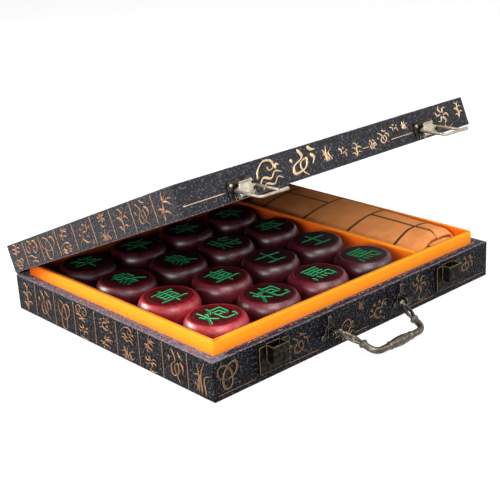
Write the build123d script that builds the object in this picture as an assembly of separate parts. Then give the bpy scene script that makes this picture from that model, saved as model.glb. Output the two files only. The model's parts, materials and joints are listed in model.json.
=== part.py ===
from build123d import *
import os
from math import asin, cos, degrees, radians, sin

# Chinese chess (xiangqi) box: a shallow wooden case wrapped in leatherette, with a hinged
# lid, a flocked tray for two layers of pieces and the folded board, two draw latches and
# a bail handle. Millimetres. The origin is the middle of the base's underside, +Z is up,
# the handle and the latches are on the -Y face and the hinges on the +Y face.

# --- Driving dimensions ------------------------------------------------------------
BOX_X, BOX_Y = 250.0, 205.0  # outside of base and lid
BASE_Z = 25.0  # underside to rim
LID_Z = 19.2  # lid's lower edge to its top
SEAM = 0.4  # gap between rim and lid when closed
LID_OPEN = 22.8  # degrees that the lid stands open

WRAP = 0.6  # leatherette
SOLE, SOLE_INSET = 0.6, 1.5  # sheet glued under the base
PANEL = 2.6  # base's bottom board
BASE_WALL = 6.2
LID_PANEL, LID_WALL, LINING = 3.0, 4.4, 0.6
CORNER, EDGE = 0.9, 0.5  # wrapped corners and edges

TRAY_FLOOR, TRAY_WALL = 1.0, 3.3
TRAY_TOP = 33.3  # top of the tray's walls, above the rim to locate the lid
TRAY_ROUND = 0.9  # rounded top edges
PIECES_X = 175.9  # width of the pieces' compartment

PIECE_D, PIECE_Z = 40.0, 14.0
PIECE_FACE_D = 33.4  # flat face
PIECE_EDGE = 0.5
PITCH_X, PITCH_Y = 43.0, 44.3
PIECES_FORWARD = 1.0  # how far the block of pieces sits towards the front
ROWS, COLUMNS = 4, 4
SEPARATOR, SEPARATOR_GAP = 0.8, 0.4
SEAT = 0.1  # clearance under what lifts out

BUNDLE_X, BUNDLE_Y = 47.6, 182.0  # folded board
BUNDLE_SHOULDER, BUNDLE_CROWN, BUNDLE_FAR = 29.0, 34.6, 35.3  # left edge, middle, right edge
BUNDLE_SIDE_ROUND, BUNDLE_END_ROUND = 3.0, 2.2

HINGE_X = 75.0
HINGE_W, LEAF_H, LEAF_T, LEAF_CORNER = 30.0, 12.0, 1.0, 2.0
KNUCKLES, KNUCKLE_GAP = 5, 0.3
AXIS_OUT, STRAP_IN = 2.2, 0.1  # hinge axis and knuckle straps behind the back face
BARREL_R, PIN_R, RUN = 2.0, 0.9, 0.06  # RUN is the running clearance
SPINE_R, SPINE_END, SPINE_GAP = 2.0, 3.0, 0.4  # ends: inside the box's sides, beside a hinge
SPINE_STRIP, SPINE_FOOT = 9.0, 0.6  # glued strip's lower and upper edges, below the axis

LATCH_X = 80.0
PLATE_W, PLATE_H, PLATE_T = 21.0, 11.8, 0.9
PLATE_RIM, PLATE_RIM_T, PLATE_RIM_ROUND, PLATE_CORNER = 1.2, 1.8, 0.4, 3.0
PLATE_UP = 0.3  # above the lid's lower edge
EAR_X, EAR_T, EAR_R = 6.2, 0.8, 1.7
PIVOT_OUT, PIVOT_Z = 2.6, 27.4  # lever's pin, on the closed lid
LEVER_W, LEVER_H, LEVER_T = 10.4, 7.6, 0.8
LEVER_OUT = 4.4  # outer face of the closed lever
LEVER_PIN_R = 0.7
LEVER_TAPER, LEVER_LIP_R = 0.8, 0.7  # share of the width left at the lever's tip, rolled lip
CHEEK_REACH, CHEEK_IN, CHEEK_TRIM = 1.5, 0.9, 0.35  # past the wire, behind the pin, off its end
WIRE_R = 0.9
WIRE_OUT, WIRE_Z = 3.2, 31.2  # where the wire enters the closed lever
BAIL_L, BAIL_HALF, BAIL_BEND, BAIL_HOOK = 21.2, 7.7, 3.0, 1.3
BAIL_TAIL, TAIL_R, TAIL_EDGE = 5.6, 1.15, 0.5  # finger end past the right arm
BAIL_DROP = 21.0  # degrees below straight out, where the bail stands

KEEPER_W, KEEPER_H, KEEPER_TOP = 24.0, 17.4, 23.0
KEEPER_T, KEEPER_FLANGE, KEEPER_CORNER = 0.8, 2.2, 1.2
HOOD_W, HOOD_H, HOOD_OUT, HOOD_R, HOOD_EDGE = 12.4, 11.5, 8.0, 2.4, 0.6

HANDLE_X = 33.0  # posts, either side of the middle
HANDLE_OUT, HANDLE_Z = 5.0, 12.5  # swing axis
HANDLE_REACH = 25.0
GRIP_R, STRAND_R, COLLAR_R = 2.1, 1.1, 2.7
BOSS_L, BOSS_R = 19.0, 3.2
POST_R, POST_W = 2.9, 3.6
HANDLE_PIN_R = 1.25
TABLE_GAP = 0.15  # left under the resting handle
ROSETTE_T, ROSETTE_R, ROSETTE_UP = 1.4, 4.2, 0.6
LOBES = ((0.0, 8.6, 1.0), (-5.9, -3.0, 1.15), (5.9, -3.0, 1.15))  # X, Z, size
LOBE_R, LOBE_BALL_R, LOBE_NECK_R = 1.5, 1.2, 0.9
KNUCKLE_R, KNUCKLE_GAP_X = 2.2, 0.3
NECK_IN, NECK_OUT = 5.0, 15.5  # where the two strands join the grip
STRAND_BOWS, STRAND_DIP = (-1.9, 2.1), 0.6
BOSS_BEAD, NECK_BEAD, NECK_SWELL = 1.6, 2.2, 0.2  # lengths of the turned beads
BEAD_ROUND = 0.35  # share of a bead's length
PIN_PAST = 0.6  # how far the bail's pins stand out of the posts
GRIP_BEND, GRIP_LEAN = 6.5, 1.2

NAIL_HEAD_R, NAIL_HEAD_T, NAIL_DOME = 1.25, 0.7, 0.56
NAIL_R, NAIL_L = 0.55, 4.0
KEEPER_NAIL_X, KEEPER_NAIL_Z = 9.2, 14.0
LATCH_NAIL_X, LATCH_NAIL_DOWN = 7.4, 2.9  # from the plate's middle and its top
HINGE_NAIL = 0.62  # share of the leaf's height, from the axis

# --- Worked out --------------------------------------------------------------------
FRONT, BACK = -BOX_Y / 2, BOX_Y / 2
RIM_W = BASE_WALL + WRAP
PANEL_TOP = SOLE + PANEL
FLOOR_TOP = PANEL_TOP + TRAY_FLOOR
TRAY_X, TRAY_Y = BOX_X / 2 - RIM_W, BOX_Y / 2 - RIM_W
TRAY_IN_X, TRAY_IN_Y = TRAY_X - TRAY_WALL, TRAY_Y - TRAY_WALL
DIVIDER_X = -TRAY_IN_X + PIECES_X  # left face of the divider
LID_LOW = BASE_Z + SEAM
LID_TOP = LID_LOW + LID_Z
HINGE_Y, HINGE_Z = BACK + AXIS_OUT, BASE_Z + SEAM / 2
PLATE_LOW = LID_LOW + PLATE_UP
LATCH_NAIL_Z = PLATE_LOW + PLATE_H - LATCH_NAIL_DOWN
HINGE_AXIS = Axis((0, HINGE_Y, HINGE_Z), (-1, 0, 0))
LOWER_TOP = FLOOR_TOP + PIECE_Z
UPPER_LOW = LOWER_TOP + SEPARATOR + SEAT


def export(shape, node):
    export_step(shape, f"parts/{node}.step")


def open_lid(shape):
    """Turns what was made on the closed lid to where the lid stands open."""
    return shape.rotate(HINGE_AXIS, LID_OPEN)


def block(x, y, z):
    """A box between the given low and high coordinates."""
    size = [high - low for low, high in (x, y, z)]
    middle = [(low + high) / 2 for low, high in (x, y, z)]
    return Pos(*middle) * Box(*size)


def front_prism(profile, start, end):
    """Extrudes an X-Z profile outwards from the front face, between two distances from it."""
    plane = Plane(origin=(0, FRONT - start, 0), x_dir=(1, 0, 0), z_dir=(0, -1, 0))
    return extrude(plane * profile, end - start)


def cross_pin(x_low, x_high, out, z, radius):
    """A round bar along X in front of the front face."""
    middle = Pos((x_low + x_high) / 2, FRONT - out, z)
    return middle * Rot(0, 90, 0) * Cylinder(radius, x_high - x_low)


# --- Base and tray -----------------------------------------------------------------
def wrapped_shell(low, high, wall, covered_top):
    """Leatherette over four sides and the edge that meets the other half of the box."""
    outer = Pos(0, 0, (low + high) / 2) * Box(BOX_X, BOX_Y, high - low)
    outer = fillet(outer.edges().filter_by(Axis.Z), CORNER)
    outer = fillet(outer.faces().sort_by(Axis.Z)[-1].edges(), EDGE)
    bottom = low + (WRAP if covered_top else 0)
    x, y = BOX_X / 2 - WRAP, BOX_Y / 2 - WRAP
    inside = block((-x, x), (-y, y), (bottom, high - WRAP))
    x, y = BOX_X / 2 - wall - WRAP, BOX_Y / 2 - wall - WRAP
    mouth = (low, bottom) if covered_top else (high - WRAP, high)
    return outer - inside - block((-x, x), (-y, y), mouth)


def ring_walls(prefix, half_x, half_y, thick, z, soften=0):
    """Four strips round a rectangle: front and back run through, the sides butt."""
    strips = {
        "front": block((-half_x, half_x), (-half_y, thick - half_y), z),
        "back": block((-half_x, half_x), (half_y - thick, half_y), z),
        "left": block((-half_x, thick - half_x), (thick - half_y, half_y - thick), z),
        "right": block((half_x - thick, half_x), (thick - half_y, half_y - thick), z),
    }
    if soften:
        for side, strip in strips.items():
            run = Axis.X if side in ("front", "back") else Axis.Y
            edges = strip.faces().sort_by(Axis.Z)[-1].edges().filter_by(run)
            strips[side] = fillet(edges, soften)
    return {f"{prefix}_{side}_wall": strip for side, strip in strips.items()}


def base():
    half_x, half_y = BOX_X / 2 - WRAP, BOX_Y / 2 - WRAP
    sole_x, sole_y = BOX_X / 2 - SOLE_INSET, BOX_Y / 2 - SOLE_INSET
    sole = block((-sole_x, sole_x), (-sole_y, sole_y), (0, SOLE))
    export(sole, "base_sole")
    export(block((-half_x, half_x), (-half_y, half_y), (SOLE, PANEL_TOP)), "base_panel")
    walls = ring_walls("base", half_x, half_y, BASE_WALL, (PANEL_TOP, BASE_Z - WRAP))
    for node, wall in walls.items():
        export(wall, node)
    export(wrapped_shell(SOLE, BASE_Z, BASE_WALL, False), "base_wrap")


def tray():
    floor = block((-TRAY_X, TRAY_X), (-TRAY_Y, TRAY_Y), (PANEL_TOP, FLOOR_TOP))
    export(floor, "tray_floor")
    height = (FLOOR_TOP, TRAY_TOP)
    walls = ring_walls("tray", TRAY_X, TRAY_Y, TRAY_WALL, height, TRAY_ROUND)
    for node, wall in walls.items():
        export(wall, node)
    across = (DIVIDER_X, DIVIDER_X + TRAY_WALL)
    divider = block(across, (-TRAY_IN_Y, TRAY_IN_Y), height)
    top_edges = divider.faces().sort_by(Axis.Z)[-1].edges().filter_by(Axis.Y)
    export(fillet(top_edges, TRAY_ROUND), "tray_divider")


# --- Contents ----------------------------------------------------------------------
def chess_piece():
    """A drum with bulging sides and flat faces, standing on Z = 0."""
    face_r, half = PIECE_FACE_D / 2, PIECE_Z / 2
    side = ThreePointArc((face_r, 0), (PIECE_D / 2, half), (face_r, PIECE_Z))
    outline = side + Polyline((face_r, PIECE_Z), (0, PIECE_Z), (0, 0), (face_r, 0))
    drum = revolve(Plane.XZ * make_face(outline), Axis.Z)
    rims = drum.edges().filter_by(GeomType.CIRCLE)
    return fillet([e for e in rims if abs(e.radius - face_r) < PIECE_EDGE], PIECE_EDGE)


def piece_place(row, column):
    middle_x = -TRAY_IN_X + PIECES_X / 2
    x = middle_x + (column - (COLUMNS - 1) / 2) * PITCH_X
    y = (row - (ROWS - 1) / 2) * PITCH_Y - PIECES_FORWARD
    return x, y


def contents():
    drum = chess_piece()
    lower = []
    for row in range(ROWS):
        for column in range(COLUMNS):
            x, y = piece_place(row, column)
            lower.append(Pos(x, y, FLOOR_TOP) * drum)
            export(Pos(x, y, UPPER_LOW) * drum, f"piece_row{row + 1}_column{column + 1}")
    export(Compound(children=lower), "lower_pieces")
    left, right = SEPARATOR_GAP - TRAY_IN_X, DIVIDER_X - SEPARATOR_GAP
    half_y = TRAY_IN_Y - SEPARATOR_GAP
    height = (LOWER_TOP, LOWER_TOP + SEPARATOR)
    export(block((left, right), (-half_y, half_y), height), "separator_sheet")
    export(board_bundle(), "board_bundle")


def board_bundle():
    """The playing sheet folded up: flat below, rising on top from its left edge to a crown
    that stays nearly level to the right edge, and rounded at both ends."""
    middle_x = (DIVIDER_X + TRAY_WALL + TRAY_IN_X) / 2
    half, low = BUNDLE_X / 2, FLOOR_TOP + SEAT
    left_top, right_top = (-half, BUNDLE_SHOULDER), (half, BUNDLE_FAR)
    crown = ThreePointArc(left_top, (0, BUNDLE_CROWN), right_top)
    sides = Polyline(right_top, (half, low), (-half, low), left_top)
    section = Plane(origin=(middle_x, BUNDLE_Y / 2, 0), x_dir=(1, 0, 0), z_dir=(0, -1, 0))
    body = extrude(section * make_face(crown + sides), BUNDLE_Y)
    body = fillet(body.edges().filter_by(Axis.Y), BUNDLE_SIDE_ROUND)
    return fillet(body.faces().sort_by(Axis.Y)[0].edges(), BUNDLE_END_ROUND)


# --- Lid ---------------------------------------------------------------------------
def lid():
    half_x, half_y = BOX_X / 2 - WRAP, BOX_Y / 2 - WRAP
    panel_low, panel_high = LID_TOP - WRAP - LID_PANEL, LID_TOP - WRAP
    panel = block((-half_x, half_x), (-half_y, half_y), (panel_low, panel_high))
    export(open_lid(panel), "lid_panel")
    walls = ring_walls("lid", half_x, half_y, LID_WALL, (LID_LOW + WRAP, panel_low))
    for node, wall in walls.items():
        export(open_lid(wall), node)
    wrap = wrapped_shell(LID_LOW, LID_TOP, LID_WALL, True)
    export(open_lid(wrap), "lid_wrap")
    x, y = half_x - LID_WALL, half_y - LID_WALL
    lining = block((-x, x), (-y, y), (panel_low - LINING, panel_low))
    export(open_lid(lining), "lid_lining")


# --- Hinges ------------------------------------------------------------------------
def hinge_leaf(x, above):
    """One leaf with its curled knuckles; the lid's leaf is the one above the axis."""
    pitch = HINGE_W / KNUCKLES
    sign = 1 if above else -1
    far, near = HINGE_Z + sign * (AXIS_OUT + LEAF_H), HINGE_Z + sign * (BARREL_R + KNUCKLE_GAP)
    height = (min(far, near), max(far, near))
    leaf = block((x - HINGE_W / 2, x + HINGE_W / 2), (BACK, BACK + LEAF_T), height)
    corners = leaf.edges().filter_by(Axis.Y)
    corners = corners.sort_by(Axis.Z)[-2:] if above else corners.sort_by(Axis.Z)[:2]
    leaf = fillet(corners, LEAF_CORNER)
    for index in range(1 if above else 0, KNUCKLES, 2):
        low = x - HINGE_W / 2 + index * pitch + KNUCKLE_GAP / 2
        high = low + pitch - KNUCKLE_GAP
        strap_z = (min(near, HINGE_Z), max(near, HINGE_Z))
        strap = block((low, high), (BACK + STRAP_IN, BACK + LEAF_T), strap_z)
        barrel = Pos((low + high) / 2, HINGE_Y, HINGE_Z) * Rot(0, 90, 0)
        leaf += strap
        leaf += barrel * Cylinder(BARREL_R, high - low)
    bore = Pos(x, HINGE_Y, HINGE_Z) * Rot(0, 90, 0) * Cylinder(PIN_R + RUN, HINGE_W + 2)
    leaf -= bore
    for side in (-1, 1):
        leaf -= back_shank(x + side * HINGE_W / 3, hinge_nail_z(above), NAIL_R + RUN)
    return leaf


def hinge_nail_z(above):
    return HINGE_Z + (1 if above else -1) * (AXIS_OUT + LEAF_H * HINGE_NAIL)


def back_shank(x, z, radius):
    return Pos(x, BACK, z) * Rot(90, 0, 0) * Cylinder(radius, 2 * NAIL_L)


def hinges():
    pins = []
    for side, name in ((-1, "left"), (1, "right")):
        x = side * HINGE_X
        export(hinge_leaf(x, False), f"hinge_base_leaf_{name}")
        export(open_lid(hinge_leaf(x, True)), f"hinge_lid_leaf_{name}")
        pins.append(Pos(x, HINGE_Y, HINGE_Z) * Rot(0, 90, 0) * Cylinder(PIN_R, HINGE_W))
    export(Compound(children=pins), "hinge_pins")
    export(hinge_spine(), "hinge_spine")


def hinge_spine():
    """Leatherette rolled about the hinge axis, which closes the gap beside the hinges. Its
    glued strip lies on the base's back."""
    beside, end = HINGE_W / 2 + SPINE_GAP, BOX_X / 2 - SPINE_END
    runs = (-end, -HINGE_X - beside), (beside - HINGE_X, HINGE_X - beside), (HINGE_X + beside, end)
    rolls = []
    for low, high in runs:
        middle = Pos((low + high) / 2, HINGE_Y, HINGE_Z)
        roll = middle * Rot(0, 90, 0) * Cylinder(SPINE_R, high - low)
        top = HINGE_Z - SPINE_FOOT
        roll += block((low, high), (BACK, BACK + WRAP), (HINGE_Z - SPINE_STRIP, top))
        roll += block((low, high), (BACK, HINGE_Y), (HINGE_Z - SPINE_R, top))
        rolls.append(roll)
    return Compound(children=rolls)


# --- Draw latches ------------------------------------------------------------------
def latch_plate(x):
    """Pressed plate with a rolled rim, rounded upper corners and two ears for the lever."""
    low, high = PLATE_LOW, PLATE_LOW + PLATE_H
    middle = (low + high) / 2
    outline = Pos(x, middle) * Rectangle(PLATE_W, PLATE_H)
    outline = fillet(outline.vertices().sort_by(Axis.Y)[-2:], PLATE_CORNER)
    inner_w, inner_h = PLATE_W - 2 * PLATE_RIM, PLATE_H
    hollow = Pos(x, middle - PLATE_RIM) * Rectangle(inner_w, inner_h)
    hollow = fillet(hollow.vertices().sort_by(Axis.Y)[-2:], PLATE_CORNER - PLATE_RIM)
    rim = front_prism(outline, 0, PLATE_RIM_T) - front_prism(hollow, PLATE_T, PLATE_RIM_T)
    outer_edges = rim.faces().sort_by(Axis.Y)[0].outer_wire().edges()
    rim = fillet(outer_edges.filter_by(GeomType.LINE), PLATE_RIM_ROUND)
    for side in (-1, 1):
        ear_x = x + side * EAR_X
        tab = Pos(ear_x, 0) * Rectangle(EAR_T, 2 * EAR_R)
        rim += front_prism(Pos(0, PIVOT_Z) * tab, PLATE_T / 2, PIVOT_OUT)
        rim += cross_pin(ear_x - EAR_T / 2, ear_x + EAR_T / 2, PIVOT_OUT, PIVOT_Z, EAR_R)
        rim -= front_shank(x + side * LATCH_NAIL_X, LATCH_NAIL_Z, NAIL_R + RUN)
    return rim - cross_pin(x - PLATE_W / 2, x + PLATE_W / 2, PIVOT_OUT, PIVOT_Z, LEVER_PIN_R)


def front_shank(x, z, radius):
    return Pos(x, FRONT, z) * Rot(90, 0, 0) * Cylinder(radius, 2 * NAIL_L)


def latch_lever(x):
    """Tapered cap with two cheeks, which turns on the pin between the plate's ears."""
    half, low, high = LEVER_W / 2, PIVOT_Z, PIVOT_Z + LEVER_H
    tip_half = half * LEVER_TAPER
    corners = (x - half, low), (x + half, low), (x + tip_half, high), (x - tip_half, high)
    cap = make_face(Polyline(*corners, close=True))
    lever = front_prism(cap, LEVER_OUT - LEVER_T, LEVER_OUT)
    lever += cross_pin(x - tip_half, x + tip_half, LEVER_OUT, high - LEVER_LIP_R / 3, LEVER_LIP_R)
    cheek_top, heel_r = WIRE_Z + CHEEK_REACH, LEVER_OUT - PIVOT_OUT - CHEEK_TRIM
    for side in (-1, 1):
        inner, outer = sorted((x + side * (half - LEVER_T), x + side * half))
        cheek = Pos((inner + outer) / 2, (low + cheek_top) / 2) * Rectangle(LEVER_T, cheek_top - low)
        lever += front_prism(cheek, PIVOT_OUT - CHEEK_IN, LEVER_OUT - LEVER_T / 2)
        lever += cross_pin(inner, outer, PIVOT_OUT, PIVOT_Z, heel_r)
    lever -= cross_pin(x - LEVER_W, x + LEVER_W, PIVOT_OUT, PIVOT_Z, LEVER_PIN_R + RUN)
    for side in (-1, 1):
        hole = sorted((x + side * (half - 2 * LEVER_T), x + side * LEVER_W))
        lever -= cross_pin(*hole, WIRE_OUT, WIRE_Z, WIRE_R + RUN)
    return lever


def latch_bail(x):
    """A wire loop: two arms whose ends turn into the lever's cheeks, and a crossbar."""
    drop, half, inner = radians(BAIL_DROP), BAIL_HALF, LEVER_W / 2 - LEVER_T
    root = Vector(x, FRONT - WIRE_OUT, WIRE_Z)
    tip = root + Vector(0, -cos(drop), -sin(drop)) * BAIL_L
    stops = (-inner, root), (-half, root), (-half, tip), (half, tip), (half, root), (inner, root)
    corners = [point + Vector(across, 0, 0) for across, point in stops]
    path = FilletPolyline(*corners, radius=[BAIL_HOOK, BAIL_BEND, BAIL_HOOK, BAIL_HOOK])
    section = Plane(origin=path @ 0, z_dir=path % 0) * Circle(WIRE_R)
    wire = sweep(section, path=path)
    tail = cross_pin(x + half - WIRE_R, x + half + BAIL_TAIL, FRONT - tip.Y, tip.Z, TAIL_R)
    return wire + fillet(tail.edges().filter_by(GeomType.CIRCLE), TAIL_EDGE)


def keeper(x):
    """Pressed catch: a raised flange with nail holes, and a hood open at its top."""
    low = KEEPER_TOP - KEEPER_H
    middle = Pos(x, (low + KEEPER_TOP) / 2)
    body = front_prism(middle * RectangleRounded(KEEPER_W, KEEPER_H, KEEPER_CORNER), 0, KEEPER_FLANGE)
    hollow_w, hollow_h = KEEPER_W - 2 * KEEPER_T, KEEPER_H - 2 * KEEPER_T
    body -= front_prism(middle * Rectangle(hollow_w, hollow_h), 0, KEEPER_FLANGE - KEEPER_T)
    hood_low = KEEPER_TOP - HOOD_H
    hood_middle = Pos(x, (hood_low + KEEPER_TOP) / 2)
    hood_outline = hood_middle * Rectangle(HOOD_W, HOOD_H)
    hood_outline = fillet(hood_outline.vertices().sort_by(Axis.Y)[:2], HOOD_R)
    hood = front_prism(hood_outline, 0, HOOD_OUT)
    front_edges = hood.faces().sort_by(Axis.Y)[0].edges()
    hood = fillet(front_edges.filter_by(GeomType.CIRCLE), HOOD_EDGE)
    pocket_w = HOOD_W - 2 * KEEPER_T
    pocket = Pos(x, hood_low + KEEPER_T + HOOD_H / 2) * Rectangle(pocket_w, HOOD_H)
    pocket = fillet(pocket.vertices().sort_by(Axis.Y)[:2], HOOD_R - KEEPER_T)
    body += hood
    body -= front_prism(pocket, KEEPER_T, HOOD_OUT - KEEPER_T)
    for side in (-1, 1):
        body -= front_shank(x + side * KEEPER_NAIL_X, KEEPER_NAIL_Z, NAIL_R + RUN)
    return body


def latches():
    pins = []
    for side, name in ((-1, "left"), (1, "right")):
        x = side * LATCH_X
        export(open_lid(latch_plate(x)), f"latch_plate_{name}")
        export(open_lid(latch_lever(x)), f"latch_lever_{name}")
        export(open_lid(latch_bail(x)), f"latch_bail_{name}")
        export(keeper(x), f"keeper_{name}")
        pin_half = EAR_X + EAR_T / 2
        pins.append(cross_pin(x - pin_half, x + pin_half, PIVOT_OUT, PIVOT_Z, LEVER_PIN_R))
    export(open_lid(Compound(children=pins)), "latch_pins")


# --- Handle ------------------------------------------------------------------------
def handle_tilt():
    """Degrees below straight out at which the bail rests on the table."""
    drop = HANDLE_Z - TABLE_GAP - BOSS_R
    return degrees(asin(drop / HANDLE_REACH))


def handle_bail():
    """Made flat, reaching along -Y from the swing axis, then tilted down to the table."""
    reach, neck = HANDLE_REACH, NECK_OUT
    end_x = HANDLE_X - POST_W / 2 - KNUCKLE_R - KNUCKLE_GAP_X
    neck_x = end_x - NECK_IN
    low_x = neck_x - GRIP_LEAN
    corners = (-neck_x, -neck), (-low_x, -reach), (low_x, -reach), (neck_x, -neck)
    bar = FilletPolyline(*corners, radius=GRIP_BEND)
    section = Plane(origin=bar @ 0, z_dir=bar % 0) * Circle(GRIP_R)
    handle = sweep(section, path=bar)
    boss = ThreePointArc((-BOSS_L / 2, GRIP_R), (0, BOSS_R), (BOSS_L / 2, GRIP_R))
    closing = Polyline((BOSS_L / 2, GRIP_R), (BOSS_L / 2, 0), (-BOSS_L / 2, 0), (-BOSS_L / 2, GRIP_R))
    handle += Pos(0, -reach, 0) * revolve(make_face(boss + closing), Axis.X)
    for side in (-1, 1):
        handle += Pos(side * BOSS_L / 2, -reach, 0) * Rot(0, 90, 0) * bead(COLLAR_R, BOSS_BEAD)
        handle += Pos(side * neck_x, -neck, 0) * Rot(90, 0, 0) * bead(COLLAR_R + NECK_SWELL, NECK_BEAD)
        knuckle = Pos(side * end_x, 0, 0) * Sphere(KNUCKLE_R)
        pin_low, pin_high = sorted((side * end_x, side * (HANDLE_X + POST_W / 2 + PIN_PAST)))
        pin = Pos((pin_low + pin_high) / 2, 0, 0) * Rot(0, 90, 0)
        handle += knuckle
        handle += pin * Cylinder(HANDLE_PIN_R, pin_high - pin_low)
        for bow in STRAND_BOWS:
            start, stop = (side * end_x, -STRAND_DIP), (side * neck_x, -neck)
            halfway = (side * ((end_x + neck_x) / 2 + bow), -neck / 2)
            strand = ThreePointArc(start, halfway, stop)
            ring = Plane(origin=strand @ 0, z_dir=strand % 0) * Circle(STRAND_R)
            handle += sweep(ring, path=strand)
    handle = handle.rotate(Axis.X, handle_tilt())
    return Pos(0, FRONT - HANDLE_OUT, HANDLE_Z) * handle


def bead(radius, length):
    ring = Cylinder(radius, length)
    return fillet(ring.edges().filter_by(GeomType.CIRCLE), length * BEAD_ROUND)


def handle_post(x):
    """A three-lobed escutcheon with the bored post that holds one end of the bail."""
    middle = HANDLE_Z + ROSETTE_UP
    hub = Pos(x, middle)
    body = front_prism(hub * Circle(ROSETTE_R), 0, ROSETTE_T)
    for lobe_x, lobe_z, size in LOBES:
        tip = Pos(x + lobe_x, middle + lobe_z)
        ends = (hub * Circle(ROSETTE_R / 2)).edges() + (tip * Circle(LOBE_NECK_R)).edges()
        body += front_prism(make_hull(ends), 0, ROSETTE_T)
        body += front_prism(tip * Circle(LOBE_R * size), 0, ROSETTE_T)
        ball = Pos(x + lobe_x, FRONT - LOBE_BALL_R * size, middle + lobe_z)
        body += ball * Sphere(LOBE_BALL_R * size)
    stem = Pos(x, HANDLE_Z) * Rectangle(POST_W, 2 * POST_R)
    body += front_prism(stem, 0, HANDLE_OUT)
    body += cross_pin(x - POST_W / 2, x + POST_W / 2, HANDLE_OUT, HANDLE_Z, POST_R)
    return body - cross_pin(x - POST_W, x + POST_W, HANDLE_OUT, HANDLE_Z, HANDLE_PIN_R + RUN)


def handle():
    export(handle_bail(), "handle_bail")
    for side, name in ((-1, "left"), (1, "right")):
        export(handle_post(side * HANDLE_X), f"handle_post_{name}")


# --- Nails -------------------------------------------------------------------------
def nail():
    """A dome-headed nail driven along +Y, its head's underside at Y = 0."""
    head = Pos(0, 0, NAIL_HEAD_T / 2) * Cylinder(NAIL_HEAD_R, NAIL_HEAD_T)
    head = fillet(head.edges().sort_by(Axis.Z)[-1], NAIL_DOME)
    shank = Pos(0, 0, -NAIL_L / 2) * Cylinder(NAIL_R, NAIL_L)
    return Rot(90, 0, 0) * (head + shank)


def nails():
    brad = nail()
    base_nails, lid_nails = [], []
    for side in (-1, 1):
        for off in (-1, 1):
            x = side * LATCH_X + off * KEEPER_NAIL_X
            base_nails.append(Pos(x, FRONT - KEEPER_FLANGE, KEEPER_NAIL_Z) * brad)
            x = side * LATCH_X + off * LATCH_NAIL_X
            lid_nails.append(Pos(x, FRONT - PLATE_T, LATCH_NAIL_Z) * brad)
            x = side * HINGE_X + off * HINGE_W / 3
            turned = Rot(0, 0, 180) * brad
            base_nails.append(Pos(x, BACK + LEAF_T, hinge_nail_z(False)) * turned)
            lid_nails.append(Pos(x, BACK + LEAF_T, hinge_nail_z(True)) * turned)
    export(Compound(children=base_nails), "base_nails")
    export(open_lid(Compound(children=lid_nails)), "lid_nails")


os.makedirs("parts", exist_ok=True)
base()
tray()
contents()
lid()
hinges()
latches()
handle()
nails()
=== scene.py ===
import json
import math
import random

import bpy
import numpy as np
from mathutils import Matrix, Vector


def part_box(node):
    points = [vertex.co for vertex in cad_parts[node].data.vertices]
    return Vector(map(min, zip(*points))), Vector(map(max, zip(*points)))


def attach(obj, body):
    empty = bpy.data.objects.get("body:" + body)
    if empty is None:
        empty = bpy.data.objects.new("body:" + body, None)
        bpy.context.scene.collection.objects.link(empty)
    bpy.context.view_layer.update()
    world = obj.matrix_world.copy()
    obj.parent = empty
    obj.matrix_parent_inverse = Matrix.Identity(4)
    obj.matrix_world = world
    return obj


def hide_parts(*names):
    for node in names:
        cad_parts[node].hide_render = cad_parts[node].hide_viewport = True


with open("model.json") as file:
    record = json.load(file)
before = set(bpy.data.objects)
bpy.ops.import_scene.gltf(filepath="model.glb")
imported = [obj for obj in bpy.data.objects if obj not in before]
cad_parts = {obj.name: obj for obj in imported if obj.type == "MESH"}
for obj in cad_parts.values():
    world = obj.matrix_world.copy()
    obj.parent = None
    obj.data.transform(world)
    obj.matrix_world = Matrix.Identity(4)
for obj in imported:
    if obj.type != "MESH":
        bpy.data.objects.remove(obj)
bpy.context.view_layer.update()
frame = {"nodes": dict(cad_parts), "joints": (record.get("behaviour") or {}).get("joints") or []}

# Xiangqi box: the finish of every surface, and the pieces whose looks need more than the CAD
# solid gives. Metres, in the CAD model's frame. Sizes given in millimetres are multiplied by MM.
MM = 0.001
NODES = frame["nodes"]
HINGE = next(joint for joint in frame["joints"] if joint["name"] == "lid_hinge")
WALLS = ("front_wall", "back_wall", "left_wall", "right_wall")


# --- Places taken from the frame ---
def corners(node):
    low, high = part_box(node)
    return np.array(low), np.array(high)


BASE_LOW, (HALF_X, HALF_Y, RIM_Z) = corners("base_wrap")
LID_AXIS = Vector(HINGE["pos_m"])
LID_TURN = Matrix.Rotation(-math.radians(HINGE["range_deg"][0]), 3, Vector((-1, 0, 0)))
LID_LOW = 2 * HINGE["pos_m"][2] - RIM_Z  # the closed lid's lower edge, as far above the axis
LID_DEPTH = 19.2 * MM


# --- Camera and light ---
CAMERA_AT = (-0.47214, -0.53377, 0.29704)
AZIMUTH, ELEVATION, ROLL = -41.35, 20.476, -3.315
LENS, SENSOR, CLIP = 80.3, 36.0, (0.05, 20)
LAMPS_FACE = Vector((0, 0, 0.05))
LAMPS = (  # name, azimuth, elevation, distance, size, watts, colour
    ("back_left", -146, 22, 1.1, (0.6, 0.35), 16, (1.0, 0.99, 0.97)),
    ("low_left", -72, 12, 1.2, (0.8, 0.26), 8, (1.0, 0.99, 0.98)),
    ("soft_front", -24, 40, 1.0, (0.5, 0.3), 5, (1, 1, 1)),
    ("soft_right", 40, 28, 1.2, (0.6, 0.3), 2.5, (0.97, 0.98, 1.0)),
    ("soft_top", 0, 68, 1.4, (0.8, 0.7), 7, (1, 1, 1)),
)


def add_object(name, data):
    made = bpy.data.objects.new(name, data)
    bpy.context.scene.collection.objects.link(made)
    return made


def direction(azimuth, elevation):
    """The way from the object to a place, in degrees; azimuth 0 is in front."""
    a, e = math.radians(azimuth), math.radians(elevation)
    return Vector((math.sin(a) * math.cos(e), -math.cos(a) * math.cos(e), math.sin(e)))


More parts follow.
